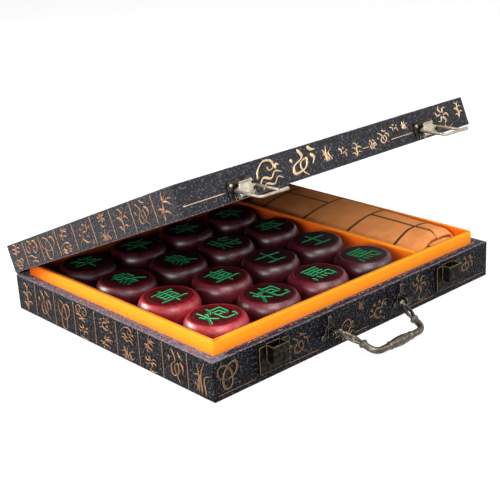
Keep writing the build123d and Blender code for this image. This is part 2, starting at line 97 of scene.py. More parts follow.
def make_camera():
    back = direction(AZIMUTH, ELEVATION)
    right = (-back).cross(Vector((0, 0, 1))).normalized()
    level = Matrix((right, back.cross(right), back)).transposed()
    turn = Matrix.Rotation(math.radians(ROLL), 3, "Z")
    data = bpy.data.cameras.new("camera")
    data.lens, data.sensor_width = LENS, SENSOR
    data.clip_start, data.clip_end = CLIP
    camera = add_object("camera", data)
    camera.matrix_world = Matrix.Translation(CAMERA_AT) @ (level @ turn).to_4x4()
    bpy.context.scene.camera = camera


def make_lamps():
    """Soft boxes that face the middle of the object."""
    for name, azimuth, elevation, distance, size, watts, colour in LAMPS:
        way = direction(azimuth, elevation)
        data = bpy.data.lights.new(name, "AREA")
        data.shape = "RECTANGLE"
        data.size, data.size_y = size
        data.energy, data.color = watts, colour
        lamp = add_object(name, data)
        lamp.location = LAMPS_FACE + way * distance
        lamp.rotation_mode = "QUATERNION"
        lamp.rotation_quaternion = way.to_track_quat("Z", "Y")


# --- Node trees ---
def rgb(code):
    """Linear colour of a six-digit sRGB code."""
    channels = [int(code[i:i + 2], 16) / 255 for i in (0, 2, 4)]
    return [c / 12.92 if c <= 0.04045 else ((c + 0.055) / 1.055) ** 2.4 for c in channels] + [1]


def grey(level):
    return (level, level, level, 1)


class Shader:
    """A node tree built one call at a time; sockets and sRGB codes go in where values would."""

    def __init__(self, name, world=False):
        self.owner = (bpy.data.worlds if world else bpy.data.materials).new(name)
        self.owner.use_nodes = True
        self.tree = self.owner.node_tree
        self.tree.nodes.clear()
        self.end = self.tree.nodes.new(f"ShaderNodeOutput{'World' if world else 'Material'}")

    def node(self, kind, inputs=None, out=0, **settings):
        """Adds a node and gives the output that out names, or all of them where it is None."""
        made = self.tree.nodes.new("ShaderNode" + kind)
        for key, value in settings.items():
            setattr(made, key, value)
        for key, value in (inputs or {}).items():
            if isinstance(value, bpy.types.NodeSocket):
                self.tree.links.new(value, made.inputs[key])
            else:
                made.inputs[key].default_value = rgb(value) if isinstance(value, str) else value
        return made.outputs if out is None else made.outputs[out]

    def place(self):
        return self.node("TexCoord", out="Object")

    def attribute(self, name):
        return self.node("Attribute", out="Fac", attribute_name=name)

    def hollow(self, reach):
        """Falls from 1 to 0 where other surfaces within reach close in."""
        return self.node("AmbientOcclusion", {"Distance": reach}, "AO", samples=8)

    def noise(self, grain, detail=2.0, rough=0.5, at=None, warp=0.0):
        """Noise whose features are about grain metres across."""
        inputs = {"Vector": at or self.place(), "Scale": 1 / grain, "Detail": detail}
        return self.node("TexNoise", inputs | {"Roughness": rough, "Distortion": warp})

    def span(self, value, low, high, out_low=0.0, out_high=1.0):
        """Maps low..high to out_low..out_high, smoothly and with no overshoot."""
        inputs = {0: value, 1: low, 2: high, 3: out_low, 4: out_high}
        return self.node("MapRange", inputs, interpolation_type="SMOOTHSTEP")

    def maths(self, operation, first, *others):
        """The operation applied to the values in turn."""
        for other in others or (0.0,):
            first = self.node("Math", {0: first, 1: other}, operation=operation)
        return first

    def mix(self, share, first, second):
        return self.node("Mix", {0: share, 6: first, 7: second}, 2, data_type="RGBA")

    def bump(self, height, depth, strength=0.5, **normal):
        inputs = {"Height": height, "Distance": depth, "Strength": strength}
        return self.node("Bump", inputs | normal)

    def soft(self, radius):
        """The normal of the same surface with its corners rounded off."""
        return self.node("Bevel", {"Radius": radius}, samples=6)

    def worn(self, radius, low=0.02, high=0.25):
        """1 along convex edges, where a soft corner's normal leaves the face's own."""
        normals = {0: self.soft(radius), 1: self.node("NewGeometry", out="Normal")}
        likeness = self.node("VectorMath", normals, "Value", operation="DOT_PRODUCT")
        return self.span(self.maths("SUBTRACT", 1.0, likeness), low, high)

    def in_sight(self):
        """1 for the rays that are to meet a white background."""
        rays = self.node("LightPath", out=None)
        kinds = ("Camera", "Glossy", "Transmission")
        return self.maths("MAXIMUM", *[rays[f"Is {kind} Ray"] for kind in kinds])

    def finish(self, **inputs):
        """Ends in a Principled shader; a word_word key is the socket 'Word Word'."""
        names = (key.replace("_", " ").title().replace("Ior", "IOR") for key in inputs)
        return self.close(self.node("BsdfPrincipled", dict(zip(names, inputs.values()))))

    def close(self, shader):
        self.tree.links.new(shader, self.end.inputs[0])
        return self.owner


# --- Materials ---
def leatherette(name, darks, pales):
    """Coarse salt-and-pepper grain, paler along the edges, partly from wear and partly as a
    painted sheen, and with a painted sheen on the rim's left side.
    """
    s = Shader(name)
    cell = {"Scale": 1 / (1.3 * MM), "Vector": s.place()}
    grain = s.node("TexVoronoi", cell, "Distance", feature="SMOOTH_F1")
    fine = s.noise(1.3 * MM, 3.0, 0.6)
    pale = s.mix(s.span(s.noise(1.6 * MM), 0.4, 0.6), *pales)
    colour = s.mix(s.span(fine, 0.53, 0.66), s.mix(s.noise(22 * MM), *darks), pale)
    upward = s.node("SeparateXYZ", {0: s.node("TexCoord", out="Normal")}, "Z")
    upward = s.span(upward, 0.6, 0.9)
    # Up-facing edges paler: partly wear, partly a painted sheen where the light catches them.
    turned = s.maths("MULTIPLY", s.worn(2.8 * MM, 0.01, 0.12), upward)
    at_x, _, at_z = s.node("SeparateXYZ", {0: s.place()}, None)
    # Painted sheen: the rim's top is paler, strongly on its left side, where the light from the
    # left falls on it.
    rim_painted_sheen = s.maths(
        "MULTIPLY", s.span(at_z, RIM_Z - MM, RIM_Z - 0.5 * MM),
        s.span(at_z, RIM_Z + MM, RIM_Z + 2 * MM, 1, 0), upward,
        s.span(at_x, BASE_LOW[0] + 9 * MM, BASE_LOW[0] + 16 * MM, 0.62, 0.06),
    )
    # Pale lilac where the cover is worn along all its edges, with the painted sheen of the
    # up-facing edges and the rim added in.
    wear_and_sheen = s.maths("MAXIMUM", turned, s.worn(0.9 * MM), rim_painted_sheen)
    wear_and_sheen = s.maths("MULTIPLY", wear_and_sheen, s.span(fine, 0.4, 0.6, 0.25, 0.65))
    pits = s.span(grain, 0.1, 0.75, 1.0, 0.0)
    height = s.maths("ADD", pits, s.maths("MULTIPLY", fine, 0.8))
    return s.finish(
        base_color=s.mix(wear_and_sheen, colour, "aea6ba"), roughness=s.span(fine, 0.35, 0.7, 0.34, 0.5),
        normal=s.bump(height, 0.4 * MM, 0.9), specular_ior_level=0.05,
        sheen_weight=0.15, sheen_roughness=0.25, sheen_tint="c4b8d4",
    )


def foil(name, bright, dull, middle_wear_and_shade):
    """Hot-stamped foil on raised strokes, bright along their edges and dull in the middle: partly
    wear, partly a painted highlight along the edges and painted shade in the middle.
    """
    s = Shader(name)
    rub = s.span(s.noise(0.9 * MM, 3.0, 0.6), 0.42, 0.62)
    # Dull middle and bright edges: partly wear, partly painted highlight and shade.
    worn = s.maths("MULTIPLY", s.span(s.attribute("middle"), 0.35, 0.9), middle_wear_and_shade)
    worn = s.maths("MAXIMUM", worn, s.maths("MULTIPLY", rub, 0.5))
    return s.finish(
        base_color=s.mix(worn, bright, dull), roughness=s.span(rub, 0, 1, 0.34, 0.6),
        metallic=0.6, normal=s.bump(s.noise(0.7 * MM), 0.15 * MM, 0.6),
    )


def flock():
    """Short dense pile, yellow-orange and a little streaked. Painted bounce light makes it redder
    in the hollows, and painted shade makes it red-orange and then near black where the lid closes
    over it.
    """
    s = Shader("flock")
    pile = s.noise(0.35 * MM, 3.0, 0.7)
    colour = s.mix(s.noise(7 * MM, 3.0, 0.6), "ff9c1c", "ffaa2c")
    colour = s.mix(s.span(pile, 0.3, 0.75), s.mix(0.5, colour, "f68414"), colour)
    # Painted bounce light: redder orange where nearby surfaces close in.
    colour = s.mix(s.span(s.hollow(22 * MM), 0.25, 0.8, 0.85, 0.0), colour, "ff560c")
    # Painted shade: red-orange, then near black, where the lid and walls shut out the light.
    deep = s.hollow(90 * MM)
    colour = s.mix(s.span(deep, 0.3, 0.6, 0.8, 0.0), colour, "ff6412")
    colour = s.mix(s.span(deep, 0.04, 0.2, 0.9, 0.0), colour, "380e03")
    return s.finish(
        base_color=colour, roughness=0.9, normal=s.bump(pile, 0.12 * MM), sheen_weight=0.15,
        sheen_roughness=0.4, sheen_tint="ffc860", specular_ior_level=0.15,
    )


def fibres(name, grain, detail, dark_to, pale_from, dark, pale, rough, depth, **more):
    """A plain matt surface of fine fibres; dark is a code, or two that lie in wide patches."""
    s = Shader(name)
    fibre = s.noise(grain, detail, 0.7)
    if isinstance(dark, tuple):
        dark = s.mix(s.noise(30 * MM), *dark)
    colour = s.mix(s.span(fibre, dark_to, pale_from), dark, pale)
    return s.finish(base_color=colour, roughness=rough, normal=s.bump(fibre, depth), **more)


def rosewood(name, pale, dark):
    """A material begun as rosewood, with its colour: long dark veins and pores in a red ground."""
    s = Shader(name)
    at = s.node("Mapping", {"Vector": s.place(), "Scale": (1, 0.16, 0.5)})
    veins = s.noise(2.6 * MM, 4.0, 0.65, at, 0.6)
    pores = s.noise(0.5 * MM, at=at)
    colour = s.mix(s.span(veins, 0.36, 0.62), dark, pale)
    return s, s.mix(s.span(pores, 0.56, 0.7, 0.0, 0.45), colour, dark)


def metal(name, pale, dark, rough, tarnish=0.18):
    """Plated metal, duller in random patches and worn bright along the edges."""
    s = Shader(name)
    film = s.span(s.noise(2.5 * MM, 4.0, 0.6), 0.35, 0.68)
    bright = s.maths("MULTIPLY", s.worn(0.45 * MM, 0.01, 0.2), 0.8)
    share = s.maths("MAXIMUM", bright, s.maths("MULTIPLY", film, tarnish))
    return s.finish(
        base_color=s.mix(share, dark, pale), metallic=1.0,
        roughness=s.span(film, 0, 1, rough + 0.14, rough),
        normal=s.bump(s.noise(0.6 * MM, 3.0), 0.03 * MM, Normal=s.soft(0.25 * MM)),
    )


def floor_material():
    """Pale floor that the camera sees as white, apart from the object's shadow."""
    s = Shader("floor")
    matt = s.node("BsdfDiffuse", {"Color": grey(0.32)})
    glow = s.node("Emission", {"Color": grey(0.8)})
    white = s.node("AddShader", {0: matt, 1: glow})
    plain = s.node("BsdfDiffuse", {"Color": grey(0.36)})
    return s.close(s.node("MixShader", {0: s.in_sight(), 1: plain, 2: white}))


def make_world():
    s = Shader("world", world=True)
    dim = s.node("Background", {"Color": grey(1), "Strength": 0.35})
    white = s.node("Background", {"Color": grey(1)})
    bpy.context.scene.world = s.close(s.node("MixShader", {0: s.in_sight(), 1: dim, 2: white}))


# --- Mesh helpers ---
def mesh_object(name, verts, faces, material, body=None):
    data = bpy.data.meshes.new(name)
    data.from_pydata([tuple(v) for v in verts], [], faces)
    data.validate()
    data.update()
    data.shade_smooth()
    data.materials.append(material)
    made = add_object(name, data)
    if body:
        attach(made, body)
    return made


def point_values(made, name, values):
    attribute = made.data.attributes.new(name, "FLOAT", "POINT")
    attribute.data.foreach_set("value", np.asarray(values, np.float32))


def quads(rows, per, first=0, ring=True, loop=False, flip=False):
    """Faces between rows of per points; ring closes each row, loop joins the last to the first."""
    faces = []
    for row in range(rows if loop else rows - 1):
        a, b = first + row * per, first + (row + 1) % rows * per
        for k in range(per if ring else per - 1):
            after = (k + 1) % per
            face = (a + k, b + k, b + after, a + after)
            faces.append((face[0], *face[:0:-1]) if flip else face)
    return faces


def wander(x, y, z, scale, seed=0.0):
    """Smooth repeatable variation between about -1 and 1."""
    a = math.sin(x / scale + seed) * math.cos(y / scale * 1.3 - seed)
    b = math.sin((x + y) / scale * 0.57 + 2.1 * seed) + 0.5 * math.sin((y - x + z) / scale * 2.3)
    return (a + b) / 2.5


def within(value, low=0.0, high=1.0):
    return min(high, max(low, value))


# --- Floor and the CAD nodes' finishes ---
FLOOR = 6.0  # half its side


def make_floor():
    around = [(x * FLOOR, y * FLOOR, 0) for x, y in ((-1, -1), (1, -1), (1, 1), (-1, 1))]
    mesh_object("floor", around, [(0, 1, 2, 3)], floor_material())


def both(*stems):
    return [f"{stem}_{side}" for stem in stems for side in ("left", "right")]


def dress(material, *names):
    for name in names:
        slots = NODES[name].data.materials
        slots.clear()
        slots.append(material)


def dress_nodes():
    # Base and lid are covered in the same leatherette; the base's darker copy is painted shade and
    # the lid's lighter copy is painted light.
    cover = leatherette("leatherette_base_shaded", ("050609", "0a0b10"), ("53565f", "4e4843"))
    dress(cover, "base_wrap", "hinge_spine")
    cover = leatherette("leatherette_lid_lit", ("252529", "2f2f34"), ("5f6068", "59534e"))
    dress(cover, "lid_wrap")
    paper = fibres("base_paper", 0.6 * MM, 4, 0.35, 0.7, "0e0e11", "191a1f", 0.8, 0.08 * MM)
    dress(paper, "base_sole")
    board = fibres("fibreboard", 1.2 * MM, 4, 0.3, 0.7, "8a6a45", "a98558", 0.85, 0.1 * MM)
    dress(board, "base_panel", *[f"base_{wall}" for wall in WALLS])
    black = fibres("black_flock", 0.5 * MM, 3, 0.4, 0.8, ("0b0706", "150d0b"), "1d1412", 0.95,
                   0.15 * MM, specular_ior_level=0.15)
    dress(black, "lid_lining", "lid_panel", *[f"lid_{wall}" for wall in WALLS])
    felt = fibres("separator_felt", 0.5 * MM, 3, 0.3, 0.75, "140a0a", "241213", 0.95, 0.15 * MM)
    dress(felt, "separator_sheet")
    pile = flock()
    dress(pile, "tray_floor")
    tray_frame(pile)
    tray_divider(pile)
    nickel = metal("latch_nickel", "e6dccd", "9a8f80", 0.34)
    dress(nickel, "latch_pins", "lid_nails", *both("latch_lever", "latch_bail"))
    dress(metal("latch_plate", "f0e6d8", "1c1917", 0.4, 0.05), *both("latch_plate"))
    bronze = metal("dark_bronze", "c4ae8c", "0c0a08", 0.45, 0.05)
    leaves = both("hinge_base_leaf", "hinge_lid_leaf")
    dress(bronze, "base_nails", "hinge_pins", *both("keeper"), *leaves)
    dress(metal("handle_bronze", "c6bdb0", "4a433c", 0.32), "handle_bail")
    dress(metal("post_bronze", "a2978a", "26211d", 0.36, 0.1), *both("handle_post"))
    wood, colour = rosewood("rosewood_dark", "3a0c12", "180508")
    dress(wood.finish(base_color=colour, roughness=0.3, specular_ior_level=0.6), "lower_pieces")


# --- Tray ---
TRAY_EDGE = 1.15 * MM  # radius of the padded top edge
TRAY_CORNERS = (0.9 * MM, 0.9 * MM, 0.9 * MM, 4.0 * MM)  # back right first, anticlockwise
TRAY_SAG = 0.12 * MM  # how far the flocked wall wanders
WALL_GRAIN, TOP_GRAIN = 11 * MM, 17 * MM
PER_CORNER, PER_SIDE, PER_EDGE, PER_WALL = 7, 24, 5, 6  # steps round and over the wall
DIVIDER_FLARE, FLARE_REACH = 2.4 * MM, 5.0 * MM
DIVIDER_LOWER, DIVIDER_STEPS = 0.25 * MM, 40


def rounded_outline(half_x, half_y, radii):
    """(point, outward normal) round a rectangle with rounded corners."""
    signs = ((1, 1), (-1, 1), (-1, -1), (1, -1))
    centres = [np.array((x * (half_x - r), y * (half_y - r))) for (x, y), r in zip(signs, radii)]
    outline = []
    for quarter, (centre, radius) in enumerate(zip(centres, radii)):
        for step in range(PER_CORNER + 1):
            angle = math.pi / 2 * (quarter + step / PER_CORNER)
            way = np.array([math.cos(angle), math.sin(angle)])
            outline.append((centre + radius * way, way))
        after = (quarter + 1) % 4
        start, goal = outline[-1][0], centres[after] + radii[after] * way
        for step in range(1, PER_SIDE):
            outline.append((start + (goal - start) * step / PER_SIDE, way))
    return outline


def top_profile(thick, low, high):
    """(inset from the outer face, height) up the outside, over the soft top and down inside."""
    turns = [math.pi / 2 * step / PER_EDGE for step in range(PER_EDGE + 1)]
    outer = [(TRAY_EDGE * (1 - math.cos(t)), high - TRAY_EDGE * (1 - math.sin(t))) for t in turns]
    inner = [(thick - inset, height) for inset, height in reversed(outer)]
    heights = [low + (high - TRAY_EDGE - low) * k / PER_WALL for k in range(PER_WALL)]
    return [(0, h) for h in heights] + outer + inner + [(thick, h) for h in reversed(heights)]


def tray_frame(material):
    """The four walls in one surface, slightly uneven, as flocked cloth lies on board."""
    low, high = corners("tray_front_wall")
    half_x, half_y, thick = high[0], -low[1], high[1] - low[1]
    inner_x, inner_y = half_x - thick, half_y - thick
    outline = rounded_outline(half_x, half_y, TRAY_CORNERS)
    profile = top_profile(thick, low[2], high[2])
    verts = []
    for (x, y), (nx, ny) in outline:
        for inset, height in profile:
            px, py = x - nx * inset, y - ny * inset
            if inset > thick * 0.6:  # the inner face keeps square corners
                px, py = within(px, -inner_x, inner_x), within(py, -inner_y, inner_y)
            inward = min(0, TRAY_SAG * wander(px, py, height, WALL_GRAIN))
            if height > high[2] - TRAY_EDGE:
                height += min(0, TRAY_SAG * wander(px, py, 0, TOP_GRAIN, 1.7))
            verts.append((px + nx * inward, py + ny * inward, height))
    faces = quads(len(outline), len(profile), loop=True)
    made = mesh_object("tray_frame", verts, faces, material, "base")
    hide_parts(*[f"tray_{wall}" for wall in WALLS])


def tray_divider(material):
    """The divider's covering widens where it is tucked into the front and back walls."""
    low, high = corners("tray_divider")
    thick, middle = high[0] - low[0], (low[0] + high[0]) / 2
    profile = top_profile(thick, low[2], high[2] - DIVIDER_LOWER)
    verts = []
    for row in range(DIVIDER_STEPS + 1):
        y = low[1] + (high[1] - low[1]) * (0.5 - 0.5 * math.cos(math.pi * row / DIVIDER_STEPS))
        near = min(y - low[1], high[1] - y)
        widen = 1 + DIVIDER_FLARE / thick * max(0, 1 - near / FLARE_REACH) ** 2
        for inset, height in profile:
            x = middle + (inset - thick / 2) * widen
            x += TRAY_SAG * wander(x, y, height, 0.012, 0.6)
            verts.append((x, y, height + min(0, TRAY_SAG * wander(x, y, 0, 0.02))))
    per = len(profile)
    faces = quads(DIVIDER_STEPS + 1, per, flip=True)
    faces.append(tuple(reversed(range(per))))
    faces.append(tuple(range(DIVIDER_STEPS * per, (DIVIDER_STEPS + 1) * per)))
    made = mesh_object("tray_divider_cover", verts, faces, material, "base")
    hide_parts("tray_divider")


# --- Playing pieces ---
def paths(text, unit=1):
    """Strokes from text that gives each point's x and y, with a comma between strokes."""
    parts = [[float(value) for value in part.split()] for part in text.split(",")]
    return [np.reshape(part, (-1, 2)) / unit for part in parts]


# Plain versions of the game's traditional signs, in millimetres from the middle of the face,
# with +Y up the sign.
SIGNS = {
    "cannon": (
        "-8.4 3.6 -7.6 0.6, -3.4 4.2 -4.6 1.4, -6 8.4 -6 1.6 -7.2 -3 -9.8 -7.4, "
        "-5.9 -0.4 -4.6 -2.6 -2.6 -4.6, 1.2 9 0.2 6 -2 3, 0 6.2 8 6.2 7.8 -0.4 6 -2, "
        "0.4 3 5 3 5 -1 0.6 -1, 0.4 3 0.4 -5.6 1.8 -7.6 8.4 -7.6 9.4 -4.2"
    ),
    "horse": (
        "-5.4 8 6 8, -5.4 8 -5.4 -1, 0 8 0 -1, -5.4 5 5 5, -5.4 2 5 2, "
        "-5.4 -1 8 -1 7.2 -7.6 4.4 -7, -8 -4 -8.8 -7.6, -4.2 -3.8 -3.8 -6.8, "
        "-0.8 -3.8 -0.2 -6.6, 2.4 -3.8 3.4 -6.2"
    ),
    "chariot": (
        "-7 6.4 7 6.4, -5 3.8 5 3.8 5 -2.6 -5 -2.6 -5 3.8, -5 0.6 5 0.6, -8.6 -5.4 8.6 -5.4, "
        "0 9 0 -9"
    ),
    "guard": "-8.8 2.6 8.8 2.6, 0 9 0 -6.8, -6 -6.8 6 -6.8",
    "elephant": (
        "-1 9 -5.8 5, -2.2 7.4 4 7.4 2 4.8, -5 4.8 5.4 4.8 4.8 1.2 -4.4 1.2 -5 4.8, 0 4.8 0 1.2, "
        "0.2 1 -6.4 -2.6, -1.4 0 1.8 -3 1.6 -8.4 -0.8 -7.6, 0.8 -2 -6 -5.6, 1.6 -4.6 -5.4 -8.8, "
        "5.6 0.2 2.4 -2.2, 2.6 -2 8.2 -8"
    ),
    "general": (
        "-4.4 9 -4.4 -9, -8.4 7.6 -8.4 2.6 -4.4 2.6, -9 -1.4 -4.4 -1.4, -7 -1.4 -8.8 -7.6, "
        "2 9 -1.8 4.8, 1.2 7.4 7.2 7.4 4.4 3.2 -0.6 0.8, 0.6 5 2.2 3.8, -2.2 -2.2 8.8 -2.2, "
        "5.2 1 5.2 -8.4 2.8 -7.4, -0.4 -4.2 1.4 -6"
    ),
    "soldier": (
        "0 9 0 6.4, -7.6 6.2 7.6 6.2, -3.6 5.4 -7 0.6, -4.2 3.2 -1.2 1, 3.6 5.4 0.6 0.8, "
        "3.2 3.2 7 0.6, -8.8 -2 8.8 -2, 0 0.6 0 -9"
    ),
}
ROW_SIGNS = (
    "cannon cannon horse horse", "chariot chariot guard guard",
    "elephant elephant general soldier", "soldier soldier soldier soldier",
)
SIGN_SCALE, SIGN_STROKE, SIGN_DEPTH = 1.08 * MM, 0.9 * MM, 0.55 * MM
SIGN_LIP = 0.15 * MM  # how far outside its stroke a sign starts to sink
RINGS = ((14.7 * MM, 0.34 * MM), (12.3 * MM, 0.26 * MM))  # turned grooves: radius, half width
DOTS_R, DOTS, DOT_SIZE = 13.5 * MM, 52, 0.42 * MM
GROOVE_DEPTH, GROOVE_WALL = 0.22 * MM, 0.3 * MM
FACE_R, DRUM_EDGE = 16.7 * MM, 0.5 * MM
LIP_OUT, LIP_DOWN = 0.3 * MM, 0.12 * MM  # the small step from the face to the bulging side
STAIN_R = 15.4 * MM  # the face is stained darker inside its rim
AROUND, FACE_RINGS, SIDE_RINGS = 200, 42, 18
MOST_TURN = 4  # degrees by which a piece may lie turned
# Painted light and shade: these pieces, where light reaches in under the lid, get redder, paler
# wood and brighter paint, the next ones half as much, and the rest darker.
LIT_PIECES = ((1, 1), (2, 1))  # row and column
HALF_LIT_PIECES = ((1, 2), (1, 3), (2, 2), (3, 1))


def distance_to_strokes(points, strokes):
    """Distance from each point to the nearest stroke's centreline."""
    best = np.full(len(points), 1.0)
    for stroke in strokes:
        ends = stroke * SIGN_SCALE
        for a, b in zip(ends[:-1], ends[1:]):
            along = np.clip((points - a) @ (b - a) / ((b - a) @ (b - a)), 0, 1)
            nearest = a + along[:, None] * (b - a)
            best = np.minimum(best, np.linalg.norm(points - nearest, axis=1))
    return best


def smooth(value):
    value = np.clip(value, 0, 1)
    return value * value * (3 - 2 * value)


def drum_profile(radius, height):
    """(radius, height) from the lower face's middle, up the bulging side, to the upper face."""
    half, rise = height / 2, radius - FACE_R
    bow = (half * half + rise * rise) / (2 * rise)
    lean = math.asin((half - DRUM_EDGE * 0.8) / bow)
    angles = [-lean + 2 * lean * step / SIDE_RINGS for step in range(SIDE_RINGS + 1)]
    side = [(radius - bow + bow * math.cos(a), half + bow * math.sin(a)) for a in angles]
    lip = FACE_R - DRUM_EDGE * 0.45
    under = [(0, 0), (lip * 0.5, 0), (lip, 0), (lip + LIP_OUT, LIP_DOWN)]
    face = [(lip * (1 - step / FACE_RINGS), height) for step in range(FACE_RINGS + 1)]
    return under + side + [(lip + LIP_OUT, height - LIP_DOWN)] + face


def carved(points, sign):
    """Depth of the carving, and how far each point lies inside a sign or a ring's groove."""
    inside = SIGN_STROKE - distance_to_strokes(points, paths(SIGNS[sign]))
    radius = np.linalg.norm(points, axis=1)
    turn = np.arctan2(points[:, 1], points[:, 0]) / (2 * math.pi) * DOTS
    across = (turn - np.round(turn)) / DOTS * 2 * math.pi * DOTS_R
    groove = DOT_SIZE - np.hypot(across, radius - DOTS_R)
    for ring_r, half in RINGS:
        groove = np.maximum(groove, half - np.abs(radius - ring_r))
    depth = np.maximum(
        SIGN_DEPTH * smooth((inside + SIGN_LIP) / SIGN_STROKE),
        GROOVE_DEPTH * smooth(groove / GROOVE_WALL),
    )
    return depth, inside, groove


def playing_piece(node, sign, material, turn):
    low, high = corners(node)
    profile = drum_profile((high[0] - low[0]) / 2, high[2] - low[2])
    rows = len(profile)
    counts = [1] + [AROUND] * (rows - 2) + [1]  # the faces' middles are one point each
    angles = np.arange(AROUND) / AROUND * 2 * math.pi
    ring = np.stack([np.cos(angles), np.sin(angles)], axis=1)
    flat = np.concatenate([ring[:count] * r for (r, _), count in zip(profile, counts)])
    heights = np.repeat([height for _, height in profile], counts)
    on_face = np.repeat(np.arange(rows) >= rows - FACE_RINGS - 1, counts)
    cos, sin = math.cos(turn), math.sin(turn)
    depth, inside, groove = carved(flat @ np.array([[cos, -sin], [sin, cos]]), sign)
    heights = heights - np.where(on_face, depth, 0)
    verts = np.column_stack([flat + (low + high)[:2] / 2, heights + low[2]])
    faces = quads(rows - 2, AROUND, first=1, flip=True)
    last, top = 1 + (rows - 3) * AROUND, len(verts) - 1
    for k in range(AROUND):
        after = (k + 1) % AROUND
        faces += [(0, 1 + after, 1 + k), (last + k, last + after, top)]
    made = mesh_object(f"{node}_carved", verts, faces, material, node)
    stain = STAIN_R - np.linalg.norm(flat, axis=1)
    for name, values in (("sign", inside), ("groove", groove), ("stain", stain)):
        point_values(made, name, np.where(on_face, values, -1.0) / MM)
    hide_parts(node)


def carved_wood(name, pale, dark, paint):
    """Lacquered rosewood, matt and stained on the face, with a painted sign and dark grooves."""
    s, colour = rosewood(name, pale, dark)
    sign, groove, stain = (s.attribute(key) for key in ("sign", "groove", "stain"))
    within_rim = s.span(stain, -0.2, 0.5)
    share = s.maths("MULTIPLY", within_rim, s.span(stain, 3.0, 3.3, 0.6, 0.82))
    colour = s.mix(share, colour, "120306")
    colour = s.mix(s.span(groove, 0.0, 0.15, 0.0, 0.85), colour, "080203")
    colour = s.mix(s.span(sign, -0.25, 0.1, 0.0, 0.8), colour, "0a0405")
    # Painted shade: the paint turns dark green towards the stroke's edges.
    paint = s.mix(s.span(sign, 0.1, 0.6), paint, "0f5a34")
    return s.finish(
        base_color=s.mix(s.span(sign, 0.0, 0.16), colour, paint),
        roughness=s.span(stain, -0.2, 0.5, 0.35, 0.55),
        specular_ior_level=s.span(stain, -0.2, 0.5, 0.6, 0.16),
    )


def playing_pieces():
    """The pieces nearest the front left corner get redder, paler wood and brighter paint as
    painted light, and those further back darker wood and paint as painted shade under the lid.
    """
    red = carved_wood("rosewood_lit", "b02e36", "8a1e26", "52e094")
    mid = carved_wood("rosewood_half_lit", "6c1c26", "46101a", "36c078")
    dark = carved_wood("rosewood_shaded", "48121c", "280810", "269056")
    draw = random.Random(5)
    for row, signs in enumerate(ROW_SIGNS, start=1):
        for column, sign in enumerate(signs.split(), start=1):
            at = (row, column)
            wood = red if at in LIT_PIECES else mid if at in HALF_LIT_PIECES else dark
            turn = math.radians(draw.uniform(-MOST_TURN, MOST_TURN))
            playing_piece(f"piece_row{row}_column{column}", sign, wood, turn)


# --- Folded playing sheet ---
BUNDLE_LOW, BUNDLE_HIGH = corners("board_bundle")
BUNDLE_MIDDLE, BUNDLE_HALF = (BUNDLE_LOW + BUNDLE_HIGH) / 2, (BUNDLE_HIGH - BUNDLE_LOW) / 2
HALF_ACROSS, HALF_ALONG = BUNDLE_HALF[0] - 2.3 * MM, BUNDLE_HALF[1] - 2.6 * MM
SHEET_ACROSS, SHEET_ALONG = 0.400, 0.450  # laid flat
PLY, SUEDE = 0.97 * MM, 0.8 * MM  # room that each layer takes, and its own thickness
PLIES = 3  # the sheet's ends are tucked under first, so it is folded three thick
FOLD = PLIES * PLY
BEND = FOLD * math.pi / 2
LEG = 2 * HALF_ACROSS + BEND  # from one side fold to the next
PER_LEG, PER_BEND, PER_TUCK = 16, 7, 5  # points across the sheet
PER_HALF, PER_END, PER_FLAP = 24, 6, 10  # points along it, from its middle
GRID = 44.4 * MM
GRID_X, RIVER_Y = 97.0 * MM, -1.0 * MM  # a long line and the open band, seen on the top layer
GRID_S = HALF_ACROSS + GRID_X - BUNDLE_MIDDLE[0]
SHOULDER, CROWN, FAR = 29.0 * MM, 34.6 * MM, 35.3 * MM  # heights: left edge, middle, right edge
FAR_ROUND, FAR_DROP = 5.0 * MM, 1.3 * MM  # how the right edge rounds off
TOP = SHOULDER - 1.0 * MM
END_ROLL, END_DROP = 7.0 * MM, 2.0 * MM
FRONT_STEP, BACK_STEP = 7.5 * MM, 2.0 * MM  # how far the top layer stops short of the rest
PINCH_X, PINCH, PINCH_WIDTH = 98.6 * MM, 2.4 * MM, 2.2 * MM
FRONT_SINK = 2.2 * MM  # how much lower the top layer's front right corner lies
SIDE_TUCK = 9.0 * MM  # how much of the top layer hangs down its left side
RIPPLE, RIPPLE_GRAIN = 0.22 * MM, 0.009


def along_fold(t):
    """Place along the bundle, and layers below the outer one, of a point t along the sheet."""
    sign, layers = (1, 1.0) if t > 0 else (-1, 2.0)
    past, bend = abs(t) - HALF_ALONG, layers * PLY * math.pi / 2
    if past <= 0:
        return t, 0.0
    if past < bend:
        angle = past / bend * math.pi
        y = HALF_ALONG + layers * PLY / 2 * math.sin(angle)
        return sign * y, layers * (1 - math.cos(angle)) / 2
    return sign * (HALF_ALONG - past + bend), layers


def across_fold(s):
    """Mid-line of the folded strip: (x, depth, heading), heading 0 along +X and pi along -X."""
    if s < 0:
        out = FOLD * 0.6 * (1 - math.exp(s / FOLD))
        return -HALF_ACROSS - out, FOLD / 2 - s * 0.9, -math.pi / 2.2
    leg = int(s // LEG)
    way = 1 if leg % 2 == 0 else -1
    past = s - leg * LEG - 2 * HALF_ACROSS
    depth = (leg + 0.5) * FOLD
    if past <= 0:
        return way * (HALF_ACROSS + past), depth, 0.0 if way > 0 else math.pi
    angle = past / BEND * math.pi
    x = way * (HALF_ACROSS + FOLD / 2 * math.sin(angle))
    return x, depth + FOLD / 2 * (1 - math.cos(angle)), angle if way > 0 else math.pi - angle


